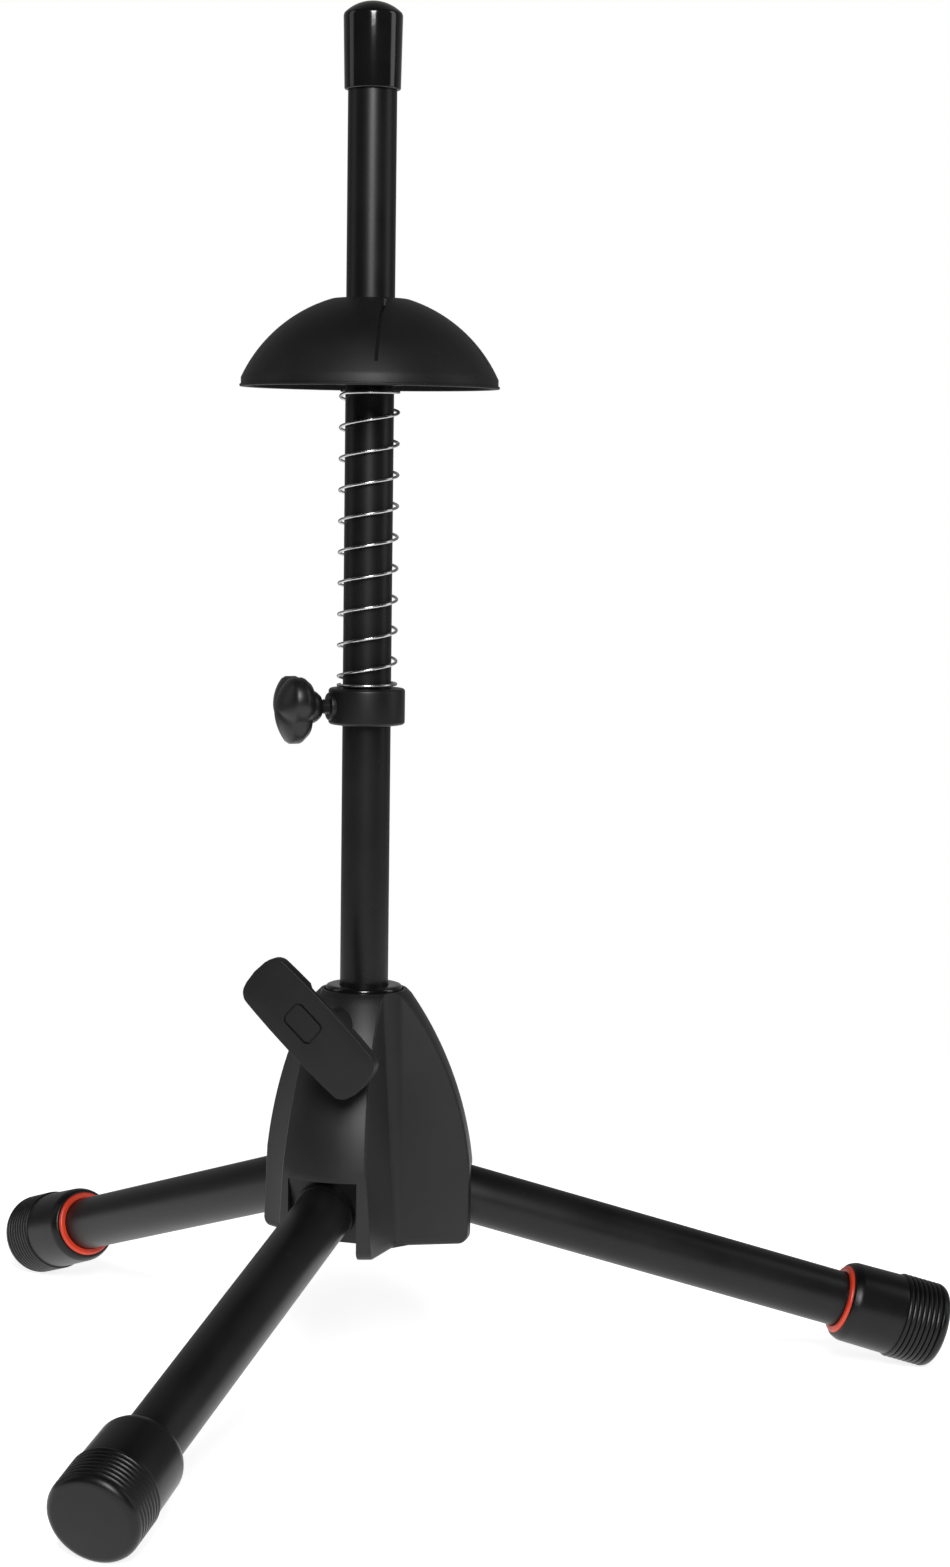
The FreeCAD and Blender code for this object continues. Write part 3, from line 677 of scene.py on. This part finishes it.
def makeTopRing():
    low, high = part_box("top_bush")
    outer = widthOf("top_bush")
    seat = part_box("housing")[1].z - ringSizes["seat"]
    inner = ringSizes["bore"]
    sleeve = ringSizes["sleeve"]
    corners = [(inner, low.z, 0), (sleeve, low.z, 0), (sleeve, seat, 0), (outer, seat, 0),
               (outer, high.z, ringSizes["round"]),
               (inner, high.z, ringSizes["round"] * ringSizes["innerRoundShare"])]
    piece = turnedPiece("topRingMoulding", corners, steps=128, closed=True, roundSteps=7)
    return standFor(piece, "top_bush")


def mergedCopy(node, name, angle):
    # the node's own shape with its triangles joined, so that its curved faces shade smoothly
    piece = copyPiece(frame["nodes"][node], name)
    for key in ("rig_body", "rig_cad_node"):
        if key in piece:
            del piece[key]
    piece.parent = None
    editOnly(piece)
    bpy.ops.mesh.select_all(action="SELECT")
    bpy.ops.mesh.remove_doubles(threshold=tiny * 5)
    bpy.ops.object.mode_set(mode="OBJECT")
    selectOnly(piece)
    if piece.data.has_custom_normals:
        bpy.ops.mesh.customdata_custom_splitnormals_clear()
    standFor(piece, node, angle=angle)
    applyModifier(piece, "WEIGHTED_NORMAL", keep_sharp=True, weight=90, mode="FACE_AREA_WITH_ANGLE")
    return piece


print("housing:", makeTopRing().name, mergedCopy("housing", "housingMoulding", 30).name,
      mergedCopy("base_cover", "baseCoverMoulding", 30).name)


# ---- mast clamp

handleSizes = {"length": 0.0515, "width": 0.0186, "bulge": 0.0018, "sideBulge": 0.0008, "thickness": 0.0044,
               "face": 0.0444, "offset": 0.002, "angle": -42.8, "edge": 0.0009, "cornerRound": 0.003,
               "gripRadius": 0.02, "gripBite": 0.0022, "gripDepth": 0.0022, "hubRadius": 0.006, "hubEnd": 0.02419,
               "hubRound": 0.0006, "hubSink": 0.002}
panelSizes = {"length": 0.0125, "width": 0.0088, "corner": 0.0022, "line": 0.0007, "depth": 0.0007,
              "offset": -0.0024, "cutter": 0.001}


def roundedBox(sizes, inset):
    # outline of a rectangle with round corners, moved in by inset
    points = []
    for turn, (across, up) in enumerate(((1, 1), (-1, 1), (-1, -1), (1, -1))):
        centre = (sizes["offset"] + across * (sizes["length"] / 2 - sizes["corner"]),
                  up * (sizes["width"] / 2 - sizes["corner"]))
        points += arcPoints(centre, sizes["corner"] - inset, turn * 90, turn * 90 + 90, 6)
    return points


def makeHandle():
    sizes = handleSizes
    level = joints["clamp_turn"]["pos_m"][2]
    side = sizes["width"] / 2
    corner = sizes["length"] / 2 - sizes["bulge"]
    spots = [(-corner, -side), (corner, -side), (corner, side), (-corner, side)]
    bulges = [(sizes["sideBulge"], 6), (sizes["bulge"], 4)] * 2
    outline = []
    for start, end, (bulge, count) in zip(spots, spots[1:] + spots[:1], bulges):
        outline += archedLine(start, end, bulge, count)[:-1]
    piece = slabPiece("clampHandleMoulding", outline, sizes["thickness"])
    editOnly(piece)

    def atCorner(edge):
        foot, head = (vertex.co for vertex in edge.verts)
        return (abs(foot.z - head.z) > tiny and abs(abs(foot.y) - side) < tiny * 5
                and abs(abs(foot.x) - corner) < tiny * 5)

    pick(piece, atCorner, "EDGE")
    bpy.ops.mesh.bevel(offset=sizes["cornerRound"], segments=6, affect="EDGES")
    bpy.ops.object.mode_set(mode="OBJECT")
    for sign in (-1, 1):
        deselectAll()
        bpy.ops.mesh.primitive_cylinder_add(vertices=128, radius=sizes["gripRadius"], depth=sizes["gripDepth"] * 2)
        bite = bpy.context.object
        place(bite, Matrix.Translation((0, sign * (side + sizes["gripRadius"] - sizes["gripBite"]), 0)))
        combine(piece, bite, "DIFFERENCE")
    applyModifier(piece, "BEVEL", width=sizes["edge"], segments=4, limit_method="ANGLE",
                  angle_limit=math.radians(50), miter_outer="MITER_ARC")
    line = slabPiece("panelLine", roundedBox(panelSizes, 0), panelSizes["cutter"])
    middle = slabPiece("panelMiddle", roundedBox(panelSizes, panelSizes["line"]), panelSizes["cutter"] * 3)
    place(middle, upAt(-panelSizes["cutter"]))
    combine(line, middle, "DIFFERENCE")
    place(line, upAt(sizes["thickness"] - panelSizes["depth"]))
    combine(piece, line, "DIFFERENCE")
    place(piece, Matrix.Translation((-sizes["offset"], 0, 0)))
    back = sizes["face"] - sizes["thickness"]
    hubEnd = sizes["hubEnd"] - back
    hub = turnedPiece("hub", [(0, hubEnd, 0), (sizes["hubRadius"], hubEnd, sizes["hubRound"]),
                              (sizes["hubRadius"], sizes["hubSink"], 0), (0, sizes["hubSink"], 0)], steps=64)
    combine(piece, hub, "UNION")
    lay = Matrix.Rotation(math.radians(sizes["angle"]), 4, "X") @ Matrix(
        ((0, 0, 1, back), (1, 0, 0, 0), (0, 1, 0, 0), (0, 0, 0, 1)))
    place(piece, upAt(level) @ Matrix.Rotation(-math.pi / 2, 4, "Z") @ lay)
    return standFor(piece, "clamp_handle", angle=35)


print("clamp:", makeHandle().name)


# ---- legs

legSizes = {"radius": 0.0095, "wall": 0.0012, "start": 0.0355, "end": 0.206, "endRound": 0.0004}
footSizes = {"start": 0.1753, "end": 0.211, "mouth": 0.0126, "mouthRound": 0.0006, "shoulder": 0.0137,
             "shoulderAt": 0.0024, "shoulderRound": 0.0008, "radius": 0.0146, "gripStart": 0.195, "ribs": 7,
             "groove": 0.0007, "endRound": 0.003, "endRoundShare": 0.93, "gripEndShare": 1.2, "endStep": 0.0005,
             "taper": 0.0003, "gripGap": 0.0006, "gripRound": 0.0002, "bore": 0.0095, "ringBore": 0.0117,
             "ringDepth": 0.0044}
ribShape = ((1, 0), (0.3, 0.12), (0, 0.35), (0, 0.6), (0.3, 0.84))   # shares of the groove's depth and the pitch
ringPieceSizes = {"outer": 0.0117, "proud": 0.0011, "inner": 0.00952, "frontRound": 0.0009, "innerRound": 0.0003}


def makeLegTube():
    sizes = legSizes
    inner = sizes["radius"] - sizes["wall"]
    edge = sizes["endRound"]
    return turnedPiece("legTube", [(inner, sizes["start"], 0), (sizes["radius"], sizes["start"], edge),
                                   (sizes["radius"], sizes["end"], edge), (inner, sizes["end"], 0)], closed=True)


def makeFoot():
    sizes = footSizes
    gripEnd = sizes["end"] - sizes["endRound"] * sizes["gripEndShare"]
    pitch = (gripEnd - sizes["gripStart"]) / sizes["ribs"]
    step = sizes["start"] + sizes["shoulderAt"]
    corners = [(0, legSizes["end"], 0), (sizes["bore"], legSizes["end"], 0),
               (sizes["bore"], sizes["start"] + sizes["ringDepth"], 0),
               (sizes["ringBore"], sizes["start"] + sizes["ringDepth"], 0), (sizes["ringBore"], sizes["start"], 0),
               (sizes["mouth"], sizes["start"], sizes["mouthRound"]),
               (sizes["shoulder"], step, sizes["shoulderRound"]),
               (sizes["shoulder"] + sizes["taper"], sizes["gripStart"] - sizes["gripGap"], sizes["gripRound"])]
    for rib in range(sizes["ribs"]):
        low = sizes["gripStart"] + rib * pitch
        corners += [(sizes["radius"] - sizes["groove"] * deep, low + pitch * along, 0) for deep, along in ribShape]
    corners += [(sizes["radius"] - sizes["groove"], gripEnd, 0),
                (sizes["radius"], gripEnd + sizes["endStep"], sizes["gripRound"]),
                (sizes["radius"], sizes["end"], sizes["endRound"] * sizes["endRoundShare"]), (0, sizes["end"], 0)]
    return turnedPiece("foot", corners, steps=112, roundSteps=6)


def makeFootRing():
    sizes = ringPieceSizes
    low = footSizes["start"] - sizes["proud"]
    high = footSizes["start"] + footSizes["ringDepth"]
    return turnedPiece("footRing", [(sizes["inner"], low, sizes["innerRound"]),
                                    (sizes["outer"], low, sizes["frontRound"]),
                                    (sizes["outer"], high, 0), (sizes["inner"], high, 0)], closed=True)


def cutFlat(piece):
    # the small flat that a foot stands on
    editOnly(piece)
    bpy.ops.mesh.select_all(action="SELECT")
    bpy.ops.mesh.bisect(plane_co=(0, 0, 0), plane_no=(0, 0, 1), use_fill=True, clear_inner=True)
    bpy.ops.object.mode_set(mode="OBJECT")


def makeLegs():
    masters = {"leg_tube": makeLegTube(), "foot": makeFoot(), "foot_ring": makeFootRing()}
    for side in sides:
        for part, master in masters.items():
            title = "".join(word.capitalize() for word in part.split("_"))
            piece = copyPiece(master, side + title + "Finished")
            place(piece, legPlace(side))
            if part == "foot":
                cutFlat(piece)
            standFor(piece, side + "_" + part)
        mergedCopy(side + "_leg_fitting", side + "LegFittingMoulding", 30)
    for master in masters.values():
        bpy.data.objects.remove(master)


makeLegs()
print("legs: three tubes, feet, rings and fittings")


# ---- floor, light and camera

floorSettings = {"radius": 0.7, "below": 0.0002, "low": 0.78, "high": 0.8, "scale": 3.0, "rough": 0.8,
                 "specular": 0.2, "glow": 0.82}


def makeFloor():
    settings = floorSettings
    deselectAll()
    bpy.ops.mesh.primitive_circle_add(vertices=96, radius=settings["radius"], fill_type="NGON",
                                      location=(0, 0, -settings["below"]))
    floor = bpy.context.object
    floor.name = "floor"
    material, graph, spot = newMaterial("paleFloor")
    tone = graph.mix(graph.noise(spot, settings["scale"]), grey(settings["low"]), grey(settings["high"]))
    closeMaterial(graph, graph.node("BsdfPrincipled", {}, {
        "Base Color": tone, "Roughness": settings["rough"], "Specular IOR Level": settings["specular"],
        "Emission Color": grey(1.0), "Emission Strength": settings["glow"]}))
    floor.data.materials.append(material)


viewSettings = {"lens": 75.45, "place": (0.40319, -1.00599, 0.30777), "heading": -19.93, "elevation": -5.47,
                "roll": 0.74}
worldSettings = {"front": 0.006, "back": 0.3, "turnFrom": 0.1, "turnTo": 0.95}
lightAim = Vector((0, 0, 0.22))
lightSettings = [
    {"name": "keyBox", "turn": -3, "distance": 1.5, "height": 1.1, "size": (0.45, 0.9), "power": 30},
    {"name": "leftBox", "turn": -88, "distance": 1.3, "height": 0.7, "size": (0.5, 1.2), "power": 3},
    {"name": "rightBox", "turn": 92, "distance": 1.3, "height": 0.7, "size": (0.5, 1.2), "power": 1.5},
]


def makeWorld():
    world = bpy.data.worlds.new("studio")
    bpy.context.scene.world = world
    world.use_nodes = True
    graph = Graph(world.node_tree)
    heading = math.radians(viewSettings["heading"])
    away = (math.sin(heading), math.cos(heading), 0)
    direction = graph.node("TexCoord", output=0)
    behind = graph.node("VectorMath", {"operation": "DOT_PRODUCT"}, {0: direction, 1: away}, output=1)
    share = graph.ramp(behind, worldSettings["turnFrom"], worldSettings["turnTo"])
    tone = graph.mix(share, grey(worldSettings["front"]), grey(worldSettings["back"]))
    seen = graph.node("LightPath", output=0)
    colour = graph.mix(seen, tone, grey(1.0))
    graph.node("OutputWorld", {}, {"Surface": graph.node("Background", {}, {"Color": colour, "Strength": 1.0})})


def makeLights():
    heading = viewSettings["heading"]
    for settings in lightSettings:
        deselectAll()
        turn = math.radians(heading + 180 + settings["turn"])
        spot = Vector((math.sin(turn), math.cos(turn), 0)) * settings["distance"]
        spot += Vector((0, 0, settings["height"]))
        aim = (lightAim - spot).to_track_quat("-Z", "Y").to_euler()
        bpy.ops.object.light_add(type="AREA", location=spot, rotation=aim)
        light = bpy.context.object
        light.name = settings["name"]
        light.data.shape = "RECTANGLE"
        light.data.size, light.data.size_y = settings["size"]
        light.data.energy = settings["power"]
        light.visible_camera = False


def makeCamera():
    heading = math.radians(viewSettings["heading"])
    turn = (Matrix.Rotation(-heading, 3, "Z")
            @ Matrix.Rotation(math.pi / 2 + math.radians(viewSettings["elevation"]), 3, "X")
            @ Matrix.Rotation(math.radians(viewSettings["roll"]), 3, "Z"))
    deselectAll()
    bpy.ops.object.camera_add(location=viewSettings["place"], rotation=turn.to_euler())
    camera = bpy.context.object
    camera.data.lens = viewSettings["lens"]
    camera.data.clip_start = 0.01
    bpy.context.scene.camera = camera


makeFloor()
makeWorld()
makeLights()
makeCamera()
bpy.context.scene.view_settings.view_transform = "Standard"
print("floor, world, lights and camera in place")

deselectAll()
